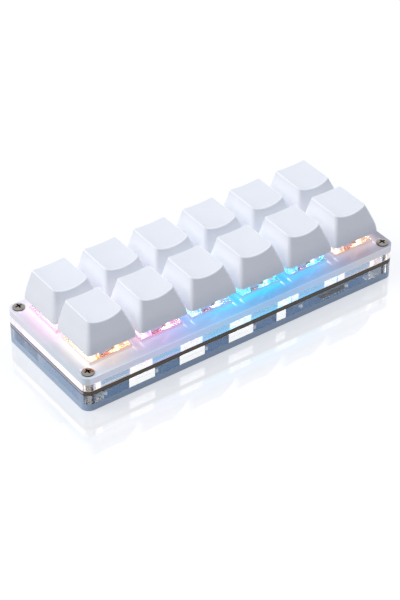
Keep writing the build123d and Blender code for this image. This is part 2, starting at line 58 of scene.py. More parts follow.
sharp_angle = math.radians(30)
acrylic_ior = 1.49
noise_low, noise_high = 0.3, 0.7


def softened(part, width, segments=2):
    """A merged copy of a CAD piece with its sharp edges rounded by this width."""
    bm = bmesh.new()
    bm.from_mesh(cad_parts[part].data)
    bmesh.ops.remove_doubles(bm, verts=bm.verts, dist=merge_distance)
    bmesh.ops.dissolve_limit(bm, angle_limit=flat_angle, verts=bm.verts, edges=bm.edges)
    sharp = [edge for edge in bm.edges if edge.is_manifold and edge.calc_face_angle() > sharp_angle]
    bmesh.ops.bevel(
        bm, geom=sharp, offset=width, offset_type="OFFSET", affect="EDGES", segments=segments,
        profile=0.5, material=-1, clamp_overlap=True,
    )
    return bm


def mesh_from(name, bm):
    """A mesh with the shape of a bmesh, which is freed."""
    mesh = bpy.data.meshes.new(name)
    bm.to_mesh(mesh)
    bm.free()
    return mesh


def make_piece(name, bm, finishes, body, node, smooth=False):
    """Turns a bmesh into a piece with its finishes, which rides a body and stands for a CAD node."""
    mesh = mesh_from(name, bm)
    if "custom_normal" in mesh.attributes:
        mesh.attributes.remove(mesh.attributes["custom_normal"])
    if smooth:
        mesh.shade_smooth()
    else:
        mesh.shade_flat()
    for finish in finishes:
        mesh.materials.append(finish)
    piece = bpy.data.objects.new(name, mesh)
    bpy.context.scene.collection.objects.link(piece)
    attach(piece, body)
    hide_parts(node)
    return piece


def add(tree, kind, inputs=None, **settings):
    """A shader node. An input is a value, or the socket of another node that feeds it."""
    made = tree.nodes.new(kind)
    for key, value in settings.items():
        setattr(made, key, value)
    for key, value in (inputs or {}).items():
        if isinstance(value, bpy.types.NodeSocket):
            tree.links.new(value, made.inputs[key])
        else:
            made.inputs[key].default_value = value
    return made


def new_finish(name, **constants):
    """A material, its node tree and its Principled shader with these constant inputs."""
    finish = bpy.data.materials.new(name)
    finish.use_nodes = True
    shader = finish.node_tree.nodes["Principled BSDF"]
    for key, value in constants.items():
        shader.inputs[key.replace("_", " ")].default_value = value
    return finish, finish.node_tree, shader


def screen(code):
    """A screen colour such as "8FA3B5" as the linear colour that a shader takes."""
    channels = [int(code[place:place + 2], 16) / 255 for place in (0, 2, 4)]
    linear = [c / 12.92 if c <= 0.04045 else ((c + 0.055) / 1.055) ** 2.4 for c in channels]
    return (*linear, 1)


def grain(tree, size, low, high, stretch=(1, 1, 1)):
    """Noise with features of this size, spread between two values."""
    place = add(tree, "ShaderNodeTexCoord").outputs["Object"]
    scaled = add(tree, "ShaderNodeMapping", {"Vector": place, "Scale": stretch}).outputs["Vector"]
    noise = add(tree, "ShaderNodeTexNoise", {"Vector": scaled, "Scale": 1 / size, "Detail": 3})
    spread = {"From Min": noise_low, "From Max": noise_high, "To Min": low, "To Max": high}
    return add(tree, "ShaderNodeMapRange", {"Value": noise.outputs["Fac"], **spread}).outputs["Result"]


def roughen(tree, shader, size, low, high, stretch=(1, 1, 1)):
    """Lets the roughness wander between two values, over features of this size."""
    tree.links.new(grain(tree, size, low, high, stretch), shader.inputs["Roughness"])


def blend(tree, factor, first, second):
    """A colour between two colours."""
    return add(
        tree, "ShaderNodeMix", {"Factor": factor, "A": first, "B": second}, data_type="RGBA"
    ).outputs["Result"]


tinted, tree, shader = new_finish("tinted_acrylic", IOR=acrylic_ior, Transmission_Weight=0.12)
tint = blend(tree, grain(tree, 14 * mm, 0.0, 1.0, (0.4, 1, 3)), screen("ACC4DE"), screen("B8CEE6"))
tree.links.new(tint, shader.inputs["Base Color"])
roughen(tree, shader, 2 * mm, 0.12, 0.2)
make_piece(
    "bottom_sheet", softened("bottom_plate", sheet_round), [tinted], "base", "bottom_plate"
)

# Nuts: four nickel-plated steel nuts, pressed into the pockets of the bottom sheet.
# The screws are driven into them from above.
nut_round = 0.15 * mm
nickel, tree, shader = new_finish("nickel_steel", Metallic=1.0, Base_Color=screen("9C9792"))
roughen(tree, shader, 0.6 * mm, 0.14, 0.28)
make_piece("corner_nuts", softened("case_nuts", nut_round), [nickel], "base", "case_nuts")

# Spacer: a clear acrylic sheet with a slot under each column of keys and a bay for the chip.
# It lies loose on the bottom sheet with a film of air on either side. Its ends are left as sawn, and carry
# painted shade and light.
air_film = 0.04 * mm
case_low, case_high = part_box("bottom_plate")


def pull_in(bm, amount):
    """Draws the upper and lower faces in a little, which leaves a film of air against its neighbours."""
    lowest = min(vert.co.z for vert in bm.verts)
    highest = max(vert.co.z for vert in bm.verts)
    low = [vert for vert in bm.verts if vert.co.z < lowest + amount]
    high = [vert for vert in bm.verts if vert.co.z > highest - amount]
    bmesh.ops.translate(bm, verts=low, vec=(0, 0, amount))
    bmesh.ops.translate(bm, verts=high, vec=(0, 0, -amount))
    return bm


def mark_ends(bm):
    """Gives the two short ends of a sheet its second finish."""
    for face in bm.faces:
        at_end = abs(face.calc_center_median().x) > case_high.x - sheet_round
        face.material_index = int(at_end)
    return bm


def object_place(tree):
    """The x, y and z sockets of the Object coordinates, in metres."""
    place = add(tree, "ShaderNodeTexCoord").outputs["Object"]
    return add(tree, "ShaderNodeSeparateXYZ", {"Vector": place}).outputs


def share_of(tree, value, low, high):
    """How far a value has come from low, at 0, to high, at 1."""
    return add(
        tree, "ShaderNodeMapRange", {"Value": value, "From Min": low, "From Max": high}
    ).outputs["Result"]


def ramp(tree, value, stops, interpolation="LINEAR"):
    """A colour that follows a value through stops of place and colour."""
    made = add(tree, "ShaderNodeValToRGB", {"Fac": value})
    made.color_ramp.interpolation = interpolation
    marks = made.color_ramp.elements
    while len(marks) < len(stops):
        marks.new(0.5)
    for mark, (place, colour) in zip(marks, stops):
        mark.position = place
        mark.color = colour
    return made.outputs["Color"]


clear, tree, shader = new_finish(
    "clear_acrylic", IOR=acrylic_ior, Transmission_Weight=1.0, Base_Color=(0.97, 0.985, 1.0, 1)
)
roughen(tree, shader, 1.2 * mm, 0.0, 0.03)
sawn_and_painted, tree, shader = new_finish(
    "sawn_acrylic_painted_tones", IOR=acrylic_ior, Transmission_Weight=0.3, Emission_Strength=0.1
)
# Painted shade and light: darker and lighter tones along each end stand for the slots seen through the
# sheet, and they glow faintly.
painted_end_tones = [
    (0.03, "B9C6D8"), (0.12, "8FA9C9"), (0.5, "A3BAD6"), (0.58, "BACADF"), (0.61, "879AB2"),
    (0.88, "8295AE"), (0.91, "B4C3D6"),
]
along_end = share_of(tree, object_place(tree)["Y"], case_low.y, case_high.y)
painted_tones = ramp(tree, along_end, [(place, screen(code)) for place, code in painted_end_tones])
streaks = grain(tree, 6 * mm, 0.0, 0.35, (1, 0.5, 6))
tree.links.new(blend(tree, streaks, painted_tones, screen("BAC9DC")), shader.inputs["Base Color"])
tree.links.new(painted_tones, shader.inputs["Emission Color"])
roughen(tree, shader, 0.8 * mm, 0.25, 0.4)
make_piece(
    "spacer_sheet", mark_ends(pull_in(softened("spacer_plate", sheet_round), air_film)), [clear, sawn_and_painted],
    "base", "spacer_plate",
)

# Circuit board: glass fibre, brown at its cut edge, with a white lacquer above and a dark one below.
# It is clamped between the clear sheets. Its white side glows with painted light in the colours of the
# lights nearby, and a little painted blue glow on its underside stands for the light that leaks through.
board_low, board_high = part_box("circuit_board")
board_end = 0.3 * mm
board_glow = 0.6
lacquer_share = 0.01
# At the cut edge, the black bands above and below the brown core are painted shade of the thin gaps between
# the sheets. The short ends are painted a lighter grey, a painted light.
layer_places = [0.0, lacquer_share, 0.2, 0.74, 1 - lacquer_share]
long_layers = ["344C66", "15130F", "5A4A33", "15130F", "F1EFF8"]
short_layers = ["344C66", "3A3A40", "B9B8C4", "3A3A40", "F1EFF8"]
columns = 6
key_numbers = range(1, 2 * columns + 1)
key_centres = {
    number: (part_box(f"keycap_{number}")[0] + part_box(f"keycap_{number}")[1]) / 2 for number in key_numbers
}
key_pitch = key_centres[2].x - key_centres[1].x
far_lights = ["FF5FC8", "E3B4FF", "D9D2FF", "8CCBFF", "7CC6FF", "F3C1E6"]
near_lights = ["FFB24A", "F59AD6", "7CC4FF", "30DCFF", "35C8FF", "FFBC80"]


def maths(tree, operation, first, second=0.0):
    """One sum on two values or sockets."""
    made = tree.nodes.new("ShaderNodeMath")
    made.operation = operation
    for socket, value in zip(made.inputs, (first, second)):
        if isinstance(value, bpy.types.NodeSocket):
            tree.links.new(value, socket)
        else:
            socket.default_value = value
    return made.outputs["Value"]


def fade(tree, value, start, end, low=1.0, high=0.0):
    """Goes smoothly from low at start to high at end."""
    return add(
        tree, "ShaderNodeMapRange",
        {"Value": value, "From Min": start, "From Max": end, "To Min": low, "To Max": high},
        interpolation_type="SMOOTHSTEP",
    ).outputs["Result"]


def row_colours(tree, x, y, near, far):
    """A colour from six along each row of keys, blended from column to column and row to row."""
    share = maths(tree, "ADD", maths(tree, "DIVIDE", x, columns * key_pitch), 0.5)
    rows = [
        ramp(tree, share, [((place + 0.5) / columns, screen(code)) for place, code in enumerate(codes)])
        for codes in (near, far)
    ]
    row_change = key_pitch / 4
    return blend(tree, fade(tree, y, -row_change, row_change, 0.0, 1.0), *rows)


def dress(part, finish):
    """Gives a CAD piece that is shown as it is its finish."""
    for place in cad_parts[part].material_slots:
        place.material = finish


board_finish, tree, shader = new_finish("board", IOR=1.5)
x, y, z = object_place(tree)
level = share_of(tree, z, board_low.z, board_high.z)
long_edge, short_edge = (
    ramp(tree, level, [(place, screen(code)) for place, code in zip(layer_places, codes)], "CONSTANT")
    for codes in (long_layers, short_layers)
)
at_end = maths(tree, "GREATER_THAN", maths(tree, "ABSOLUTE", x), board_high.x - board_end)
tree.links.new(blend(tree, at_end, long_edge, short_edge), shader.inputs["Base Color"])
roughen(tree, shader, 0.8 * mm, 0.35, 0.5)
# Painted light: the white face glows in the colours of the lights, and the dark face glows a little blue.
lit_side = maths(tree, "GREATER_THAN", level, 1 - lacquer_share)
under_side = maths(tree, "LESS_THAN", level, lacquer_share)
upper_glow = row_colours(tree, x, y, near_lights, far_lights)
tree.links.new(blend(tree, lit_side, screen("346A9A"), upper_glow), shader.inputs["Emission Color"])
glow = maths(tree, "MULTIPLY", maths(tree, "ADD", lit_side, under_side), board_glow)
tree.links.new(glow, shader.inputs["Emission Strength"])
dress("circuit_board", board_finish)

# Chip: black moulded resin with gull-wing leads of tinned copper, soldered under the board.
# The diodes there, one for each switch, are the same resin.
small_round = 0.08 * mm
tin_tone = screen("D5D6D8")
resin, tree, shader = new_finish("chip_black", Base_Color=screen("26282C"))
roughen(tree, shader, 0.1 * mm, 0.45, 0.7)
tin, tree, shader = new_finish("lead_tin", Metallic=1.0, Base_Color=tin_tone)
roughen(tree, shader, 0.3 * mm, 0.2, 0.4)
make_piece("chip_body", softened("mcu_chip", small_round), [resin], "base", "mcu_chip")
dress("mcu_leads", tin)
dress("diodes", resin)

# Capacitors and resistors: small ceramic blocks with tinned ends, between the chip and the inlet.
# They are soldered flat under the board.
ceramics = {"capacitors": "B9976B", "resistors": "2B2C30"}
ceramic_round = 0.06 * mm
tinned_share = 0.27
for part, code in ceramics.items():
    low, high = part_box(part)
    block, tree, shader = new_finish(f"{part}_ceramic", Roughness=0.45)
    y = object_place(tree)["Y"]
    from_middle = maths(tree, "ABSOLUTE", maths(tree, "SUBTRACT", y, (low.y + high.y) / 2))
    ends = maths(tree, "GREATER_THAN", from_middle, (0.5 - tinned_share) * (high.y - low.y))
    tree.links.new(blend(tree, ends, screen(code), tin_tone), shader.inputs["Base Color"])
    tree.links.new(ends, shader.inputs["Metallic"])
    make_piece(f"{part}_row", softened(part, ceramic_round), [block], "base", part)

# Solder joints: a cone of tin round each pin, drawn up the pin as it cooled, painted pale with a faint glow
# of painted light.
# Two to a switch, on the underside of the board.
# Painted light: the solder glows faintly in a pale blue-white.
solder, tree, shader = new_finish(
    "solder_tin", Metallic=0.5, Base_Color=screen("E4E4E6"), Emission_Color=screen("C9D3E0"),
    Emission_Strength=0.35,
)
roughen(tree, shader, 0.5 * mm, 0.25, 0.4)
dress("solder_joints", solder)

# Inlet: a drawn steel sleeve round a black tongue.
# It is soldered under the far edge of the board, in a gap of the spacer.
steel, tree, shader = new_finish("inlet_steel", Metallic=1.0, Base_Color=screen("BFC1C4"))
roughen(tree, shader, 0.4 * mm, 0.22, 0.36, (1, 0.1, 1))
make_piece("inlet_sleeve", softened("usb_shell", small_round), [steel], "base", "usb_shell")
dress("usb_tongue", resin)

# Lights: oblong white packages with a sunken window, one behind each switch.
# They are soldered on the white side of the board and shine up through the switch.
package, tree, shader = new_finish(
    "led_package", Base_Color=screen("F4F2E6"), Roughness=0.4, Emission_Strength=1.5
)
x, y, _ = object_place(tree)
tree.links.new(row_colours(tree, x, y, near_lights, far_lights), shader.inputs["Emission Color"])
make_piece("key_lights", softened("rgb_leds", small_round), [package], "base", "rgb_leds")

# Guide plate: a clear acrylic sheet on the white side of the board, cut out round each switch.
# The light of the switches runs along it and comes out at its edges.
white = (1, 1, 1, 1)
lit_end, tree, shader = new_finish(
    "lit_acrylic", IOR=acrylic_ior, Transmission_Weight=0.4, Emission_Color=white, Emission_Strength=0.3
)
cloudy = blend(tree, grain(tree, 5 * mm, 0.0, 1.0), screen("F6F4F8"), white)
tree.links.new(cloudy, shader.inputs["Base Color"])
roughen(tree, shader, 0.8 * mm, 0.3, 0.4)
make_piece(
    "guide_sheet", mark_ends(pull_in(softened("guide_plate", sheet_round), air_film)), [clear, lit_end],
    "base", "guide_plate",
)

# Lower housings: milky nylon boxes that stand on the board and poke up through the switch plate.
# A flange round the rim rests on the plate and carries the clear cover.
housing_round = 0.12 * mm
corner_start, corner_end = 5.0 * mm, 5.6 * mm
housing_glow_level, wall_level, corner_level = 0.25, 0.15, 0.5
guide_far = ["F0D8F0", "E2D9FA", "D5DCFA", "B4DAF8", "B4DAF6", "E6E4F4"]
guide_near = ["90C4EA", "84DCFF", "86E0FF", "86DAFF", "90D8FF", "A2CCEE"]
guide_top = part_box("guide_plate")[1].z
last_column = (columns - 1) / 2 * key_pitch


def column_middle(tree, x):
    """Where the middle of the nearest column of keys lies along the row."""
    column = maths(tree, "SNAP", maths(tree, "ADD", x, columns / 2 * key_pitch), key_pitch)
    return maths(tree, "SUBTRACT", column, last_column)


def column_reach(tree, x):
    """How far a place lies along the row from the middle of the nearest column of keys."""
    return maths(tree, "ABSOLUTE", maths(tree, "SUBTRACT", x, column_middle(tree, x)))


# Painted light and shade: the housings glow in the colours of the lights, brighter where the guide sheet
# pipes light to their corners. Inside the guide sheet their base colour is darker, a painted shade, except
# at the corners.
milky, tree, shader = new_finish("milky_housing", IOR=1.53)
x, y, z = object_place(tree)
middle = column_middle(tree, x)
corner = fade(tree, column_reach(tree, x), corner_start, corner_end, 0.0, 1.0)
in_guide = maths(tree, "LESS_THAN", z, guide_top)
shaded = maths(tree, "MULTIPLY", in_guide, maths(tree, "SUBTRACT", 1.0, corner))
tree.links.new(blend(tree, shaded, screen("ECE9F2"), screen("A0B2D0")), shader.inputs["Base Color"])
light = row_colours(tree, middle, y, near_lights, far_lights)
piped = blend(tree, corner, row_colours(tree, middle, y, guide_near, guide_far), screen("F8FAFF"))
tree.links.new(blend(tree, in_guide, light, piped), shader.inputs["Emission Color"])
piped_level = maths(tree, "MULTIPLY", in_guide, fade(tree, corner, 0.0, 1.0, wall_level, corner_level))
tree.links.new(maths(tree, "ADD", piped_level, housing_glow_level), shader.inputs["Emission Strength"])
roughen(tree, shader, 0.8 * mm, 0.3, 0.45)
make_piece(
    "lower_housings", softened("switch_lower_housings", housing_round), [milky], "base",
    "switch_lower_housings",
)

# Contacts: an upright blade and a bent leaf of brass in each housing.
# Their pins pass through the board to the solder joints.
brass, tree, shader = new_finish("contact_brass", Metallic=1.0, Base_Color=screen("D9B26A"))
roughen(tree, shader, 0.5 * mm, 0.2, 0.34)
dress("fixed_contacts", brass)
dress("moving_contacts", brass)

# Return springs: open coils of round steel wire that push the sliders up.
# They stand on the housing floor round the guide pole.
wire, tree, shader = new_finish("spring_steel", Metallic=1.0, Base_Color=screen("B9BABD"))
roughen(tree, shader, 0.3 * mm, 0.2, 0.3)
coil_radius = 1.8 * mm
coil_turns = 4
coil_steps = 20
wire_radius = 0.15 * mm
wire_sides = 8
for number in key_numbers:
    low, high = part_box(f"return_spring_{number}")
    length = high.z - low.z
    centre = key_centres[number]
    rise = (length - 2 * wire_radius) / (coil_turns * coil_steps)
    coil = bmesh.new()
    bmesh.ops.create_circle(
        coil, segments=wire_sides, radius=wire_radius, cap_ends=False,
        matrix=Matrix.Translation((centre.x + coil_radius, centre.y, low.z + wire_radius))
        @ Matrix.Rotation(math.radians(90), 4, "X"),
    )
    bmesh.ops.spin(
        coil, geom=coil.verts[:] + coil.edges[:], cent=(centre.x, centre.y, 0), axis=(0, 0, 1),
        dvec=(0, 0, rise), angle=2 * math.pi * coil_turns, steps=coil_turns * coil_steps,
        use_merge=False, use_duplicate=False,
    )
    bmesh.ops.holes_fill(coil, edges=coil.edges[:], sides=wire_sides)
    bmesh.ops.recalc_face_normals(coil, faces=coil.faces[:])
    spring = make_piece(
        f"coil_{number}", coil, [wire], "base", f"return_spring_{number}", smooth=True
    )
    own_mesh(spring)

# Sliders: red plastic blocks with a cross on top, which ride up and down in the housings.
# The keycap grips the cross, and two legs in front open the contact.
# Painted light: the sliders glow red, tinged by the lights nearby.
red, tree, shader = new_finish("slider_red", Base_Color=screen("E0506C"), Emission_Strength=1.2)
x, y, _ = object_place(tree)
light = row_colours(tree, x, y, near_lights, far_lights)
tree.links.new(blend(tree, 0.2, screen("E8303C"), light), shader.inputs["Emission Color"])
roughen(tree, shader, 0.6 * mm, 0.22, 0.36)
for number in key_numbers:
    dress(f"slider_{number}", red)

# Covers: clear moulded shells that close the housings, with the light from behind painted on them as a glow.
# Each is clipped on the flange and lets the slider out through its roof.
# Painted light: a glow along each cover, with bright bands, white hot spots and patches, in the colours of
# the lights nearby.
brightest = 5.0
cover_glow = [
    (-7.6, 0.22), (-5.2, 0.45), (-4.5, 0.12), (-4.1, 0.12), (-4.0, 1.4), (-3.75, 1.4), (-3.6, 0.06),
    (-3.0, 0.02), (1.7, 0.02), (2.2, 0.7), (2.9, 2.4), (3.5, 0.8), (4.2, 0.12), (7.6, 0.12),
]
patch_low, patch_high = 0.4 * brightest, 1.4 * brightest
hot_start, hot_end = 1.2, 3.0
side_start, side_end = 4.4 * mm, 5.4 * mm
side_near = ["FFF0CC", "FBD0EC", "8CD6FF", "30DCFF", "35C8FF", "FFE0C4"]
side_far = ["FFD0F0", "F0D8FF", "E4E0FF", "8CCBFF", "7CC6FF", "F3D6EE"]
cover_finish, tree, shader = new_finish("clear_housing", IOR=1.53, Transmission_Weight=0.92)
x, y, _ = object_place(tree)
middle = column_middle(tree, x)
offset = maths(tree, "SUBTRACT", x, middle)
share = maths(tree, "ADD", maths(tree, "DIVIDE", offset, key_pitch), 0.5)
stops = [(place * mm / key_pitch + 0.5, (value / brightest,) * 3 + (1,)) for place, value in cover_glow]
level = add(tree, "ShaderNodeRGBToBW", {"Color": ramp(tree, share, stops)}).outputs["Val"]
patchy = maths(tree, "MULTIPLY", level, grain(tree, 0.9 * mm, patch_low, patch_high, (1, 1, 0.5)))
light = row_colours(tree, middle, y, near_lights, far_lights)
side_light = row_colours(tree, middle, y, side_near, side_far)
outer = fade(tree, maths(tree, "ABSOLUTE", offset), side_start, side_end, 0.0, 1.0)
hot = fade(tree, patchy, hot_start, hot_end, 0.0, 1.0)
lit = blend(tree, hot, blend(tree, outer, light, side_light), screen("FFFDF8"))
tree.links.new(lit, shader.inputs["Emission Color"])
tree.links.new(patchy, shader.inputs["Emission Strength"])
roughen(tree, shader, 1 * mm, 0.02, 0.1)
make_piece(
    "clear_covers", pull_in(softened("switch_covers", housing_round), air_film), [cover_finish], "base",
    "switch_covers",
)

# Switch plate: a polished milky acrylic sheet on the clear one, with a cut-out that grips each switch.
# The screws clamp it down. The colours of the lights nearby are painted into its colour and glow.
plate_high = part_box("switch_plate")[1]
plate_round = 0.4 * mm
plate_far = ["EAECF2", "E4E1F0", "D9DEF4", "BFDAF4", "BAD6F2", "C6C6D4"]
plate_near = ["D6E2EC", "BECCEE", "A6D6FA", "8AB4E6", "AAC4E6", "A8AABA"]
glow_far = ["F6D4EC", "F0DDFA", "DDD8FF", "9CD2FF", "90CCFF", "F0D0EC"]
glow_near = ["FFF8E6", "EAE4FF", "60E2FF", "14E4FF", "3CC4F6", "FFF0F2"]
edge_colours = ["D5D0DE", "E8E2FF", "BCE0FF", "B8E2FF", "C0DEFF", "FFFFFF"]
halo_start, halo_end = 7.0 * mm, 11.8 * mm
halo_level, plate_level = 0.45, 0.07
cyan_place = 14 * mm
cyan_start, cyan_end = 12 * mm, 30 * mm
cyan_gain = 1.7
# Where the painted glints beside the switch corners lie and how bright they are.
glint_place = 8.1 * mm
glint_core, glint_half = 0.1 * mm, 0.45 * mm
glint_start, glint_full, glint_end = 7.4 * mm, 7.8 * mm, 11.0 * mm
edge_level, glint_level = 0.26, 0.28


def row_reach(tree, y):
    """How far a place lies outside the middle of its row of keys, and below 0 between the rows."""
    return maths(tree, "SUBTRACT", maths(tree, "ABSOLUTE", y), key_pitch / 2)


def key_reach(tree, x, y):
    """How far a place lies from the middle of its key, measured square."""
    between = maths(tree, "PINGPONG", maths(tree, "SUBTRACT", x, key_pitch / 2), key_pitch / 2)
    beyond = maths(tree, "SUBTRACT", maths(tree, "ABSOLUTE", x), last_column)
    along = maths(tree, "MAXIMUM", between, beyond)
    return maths(tree, "MAXIMUM", along, maths(tree, "ABSOLUTE", row_reach(tree, y)))


# Painted light and shade: the colour is tinted towards the lights and is darker along the front row, a
# painted shade. It glows in a painted halo round each switch and along its edge.
opal, tree, shader = new_finish("milky_acrylic", IOR=acrylic_ior)
x, y, _ = object_place(tree)
tree.links.new(row_colours(tree, x, y, plate_near, plate_far), shader.inputs["Base Color"])
near_switch = fade(tree, key_reach(tree, x, y), halo_start, halo_end, halo_level, plate_level)
from_cyan = maths(tree, "ABSOLUTE", maths(tree, "SUBTRACT", x, cyan_place))
near_cyan = fade(tree, from_cyan, cyan_start, cyan_end, cyan_gain, 1.0)
halo = maths(tree, "MULTIPLY", near_switch, near_cyan)
at_edge = fade(tree, maths(tree, "ABSOLUTE", y), plate_high.y - plate_round, plate_high.y, 0.0, 1.0)
# Painted glints: thin bright strokes beside each switch corner, out in front of the front row and behind the
# back row.
from_corner = maths(tree, "ABSOLUTE", maths(tree, "SUBTRACT", column_reach(tree, x), glint_place))
ahead = row_reach(tree, y)
glint = maths(
    tree, "MULTIPLY", fade(tree, from_corner, glint_core, glint_half),
    fade(tree, ahead, glint_full, glint_end),
)
glint = maths(tree, "MULTIPLY", glint, maths(tree, "GREATER_THAN", ahead, glint_start))
glow = blend(tree, glint, row_colours(tree, x, y, glow_near, glow_far), screen("F4F8FF"))
edge_light = row_colours(tree, x, y, edge_colours, edge_colours)
tree.links.new(blend(tree, at_edge, glow, edge_light), shader.inputs["Emission Color"])
extra = maths(
    tree, "ADD", maths(tree, "MULTIPLY", at_edge, edge_level), maths(tree, "MULTIPLY", glint, glint_level)
)
tree.links.new(maths(tree, "ADD", halo, extra), shader.inputs["Emission Strength"])
roughen(tree, shader, 3 * mm, 0.05, 0.1)
make_piece(
    "switch_sheet", softened("switch_plate", plate_round, 3), [opal], "base", "switch_plate"
)

# Corner screws: nickel-plated steel with a crowned head and a threaded shank.
# The cross recess and the edge of the head are painted dark, a painted shade.
# They pass through every sheet into the nuts and clamp the case together.
head_radius = 2.0 * mm
head_edge = 0.35 * mm
head_height = 0.8 * mm
shank_radius = 1.0 * mm
thread_root = 0.84 * mm
thread_pitch = 0.4 * mm
recess_length = 2.3 * mm
recess_width = 0.6 * mm
recess_depth = 0.6 * mm
crown_steps = 8
screw_steps = 48
upright = 0.3
screw_low, screw_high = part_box("case_screws")


def sliced(bm, faces, point, normal):
    """Cuts these faces along a plane, and returns the faces that they became."""
    edges = dict.fromkeys(edge for face in faces for edge in face.edges)
    verts = dict.fromkeys(vert for face in faces for vert in face.verts)
    cut = bmesh.ops.bisect_plane(
        bm, geom=[*verts, *edges, *faces], plane_co=point, plane_no=normal, dist=merge_distance
    )
    return [item for item in cut["geom"] if isinstance(item, bmesh.types.BMFace)]


def cut_cross(bm, faces, length, width, move):
    """Sinks a cross into these faces by this move, and returns its moved vertices."""
    for normal in (Vector((1, 0, 0)), Vector((0, 1, 0))):
        for place in (width / 2, -width / 2, length / 2, -length / 2):
            faces = sliced(bm, faces, place * normal, normal)
    arms = []
    for face in faces:
        place = face.calc_center_median()
        short, long = sorted((abs(place.x), abs(place.y)))
        if short < width / 2 and long < length / 2:
            arms.append(face)
    sunk = bmesh.ops.extrude_face_region(bm, geom=arms)["geom"]
    verts = [item for item in sunk if isinstance(item, bmesh.types.BMVert)]
    bmesh.ops.translate(bm, verts=verts, vec=move)
    bmesh.ops.delete(bm, geom=[face for face in arms if face.is_valid], context="FACES")
    return verts


def turned(points, steps):
    """A closed round form from its half outline, given as radius and height."""
    bm = bmesh.new()
    verts = [bm.verts.new((radius, 0, height)) for radius, height in points]
    edges = [bm.edges.new(pair) for pair in zip(verts, verts[1:])]
    bmesh.ops.spin(
        bm, geom=verts + edges, cent=(0, 0, 0), axis=(0, 0, 1), angle=2 * math.pi, steps=steps,
        use_merge=True, use_duplicate=False,
    )
    bmesh.ops.remove_doubles(bm, verts=bm.verts, dist=merge_distance)
    bmesh.ops.recalc_face_normals(bm, faces=bm.faces[:])
    return bm


crown = head_height - head_edge
crown_radius = (head_radius**2 + crown**2) / (2 * crown)
head_top = plate_high.z + head_height
outline = []
for step in range(crown_steps + 1):
    radius = head_radius * step / crown_steps
    outline.append((radius, head_top - crown_radius + math.sqrt(crown_radius**2 - radius**2)))
outline += [(head_radius, plate_high.z + air_film), (shank_radius, plate_high.z + air_film)]
for ridge in range(int((plate_high.z - screw_low.z) / thread_pitch) - 1):
    ridge_z = plate_high.z - thread_pitch * (ridge + 1)
    outline += [(thread_root, ridge_z + thread_pitch / 2), (shank_radius, ridge_z)]
outline += [(thread_root, screw_low.z), (0, screw_low.z)]
screw = turned(outline, screw_steps)
dome = [face for face in screw.faces if face.calc_center_median().z > plate_high.z + head_edge]
sunk = cut_cross(screw, dome, recess_length, recess_width, (0, 0, -recess_depth))
for vert in sunk:
    vert.co.z = head_top - recess_depth
for face in {face for vert in sunk for face in vert.link_faces}:
    face.material_index = 1
for face in screw.faces:
    face.normal_update()
    if face.calc_center_median().z > plate_high.z and abs(face.normal.z) < upright:
        face.material_index = 1
screw_form = mesh_from("screw_form", screw)
# Painted shade: a dark steel on the cross recess and the edge of the head.
painted_shade_steel, tree, shader = new_finish("steel_painted_shade", Metallic=1.0, Base_Color=screen("2A2827"))
roughen(tree, shader, 0.4 * mm, 0.3, 0.45)
corner_screws = bmesh.new()
corner_x, corner_y = screw_high.x - head_radius, screw_high.y - head_radius
for side in (-1, 1):
    for end in (-1, 1):
        placed = screw_form.copy()
        placed.transform(Matrix.Translation((side * corner_x, end * corner_y, 0)))
        corner_screws.from_mesh(placed)
make_piece("corner_screws", corner_screws, [nickel, painted_shade_steel], "base", "case_screws")

# Keycaps: white moulded plastic with a dry, finely grained skin and a top dished from side to side.
# The thin rim round the top is painted lighter with a faint glow, a painted highlight, and a painted glow
# spills up the sides from between the caps.
# A tube inside grips the slider's cross.
Ring = namedtuple("Ring", "half front back corner height")
cap_low, cap_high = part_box("keycap_1")
cap_half = (cap_high.x - cap_low.x) / 2
cap_height = cap_high.z - cap_low.z
cap_wall = 1.0 * mm
cap_band = 2.0 * mm
cap_draft = 0.15 * mm
cap_turn = 2.5 * mm
cap_rise = cap_height - cap_band
cap_top_half = 6.1 * mm
cap_top_front = -5.1 * mm
cap_top_back = 8.1 * mm
cap_corner = 1.5 * mm
cap_inner_corner = cap_corner - cap_wall
cap_top_corner = 1.0 * mm
cap_rim = 0.3 * mm
cap_dish_front = 1.3 * mm
cap_dish_back = 0.5 * mm
cap_dish_reach = cap_top_half + 0.1 * mm
cap_roof = 2.7 * mm
corner_steps, turn_steps, rim_steps, dish_slices = 12, 10, 6, 24
tube_radius = 2.7 * mm
tube_recess = 2.15 * mm
tube_steps = 24
socket_length = 4.1 * mm
socket_width = 1.3 * mm
socket_depth = 3.6 * mm
skin_grain = 0.12 * mm
skin_depth = 0.02 * mm
spill_level = 0.085
facing_start, facing_full = 0.4, 0.8
gap_start, gap_full = 6.3 * mm, 8.6 * mm


def dish_depth(x, y):
    """How deep the dish lies under a place of the top. It is shallower towards the back."""
    share = (cap_top_back - y) / (cap_top_back - cap_top_front)
    sag = cap_dish_back + (cap_dish_front - cap_dish_back) * share
    radius = (cap_dish_reach**2 + sag**2) / (2 * sag)
    return sag - radius + math.sqrt(radius**2 - min(abs(x), cap_dish_reach) ** 2)


def mixed(first, second, share):
    """A ring of sizes between two rings."""
    return Ring(*(a + (b - a) * share for a, b in zip(first, second)))


def drawn_in(ring, amount, corner):
    """A ring that lies inside another by this amount."""
    return Ring(ring.half - amount, ring.front + amount, ring.back - amount, corner, ring.height)


def rounded(first, middle, last, steps):
    """Rings on a smooth curve from the first to the last, which leans towards the middle one."""
    shares = [step / steps for step in range(1, steps + 1)]
    return [mixed(mixed(first, middle, share), mixed(middle, last, share), share) for share in shares]


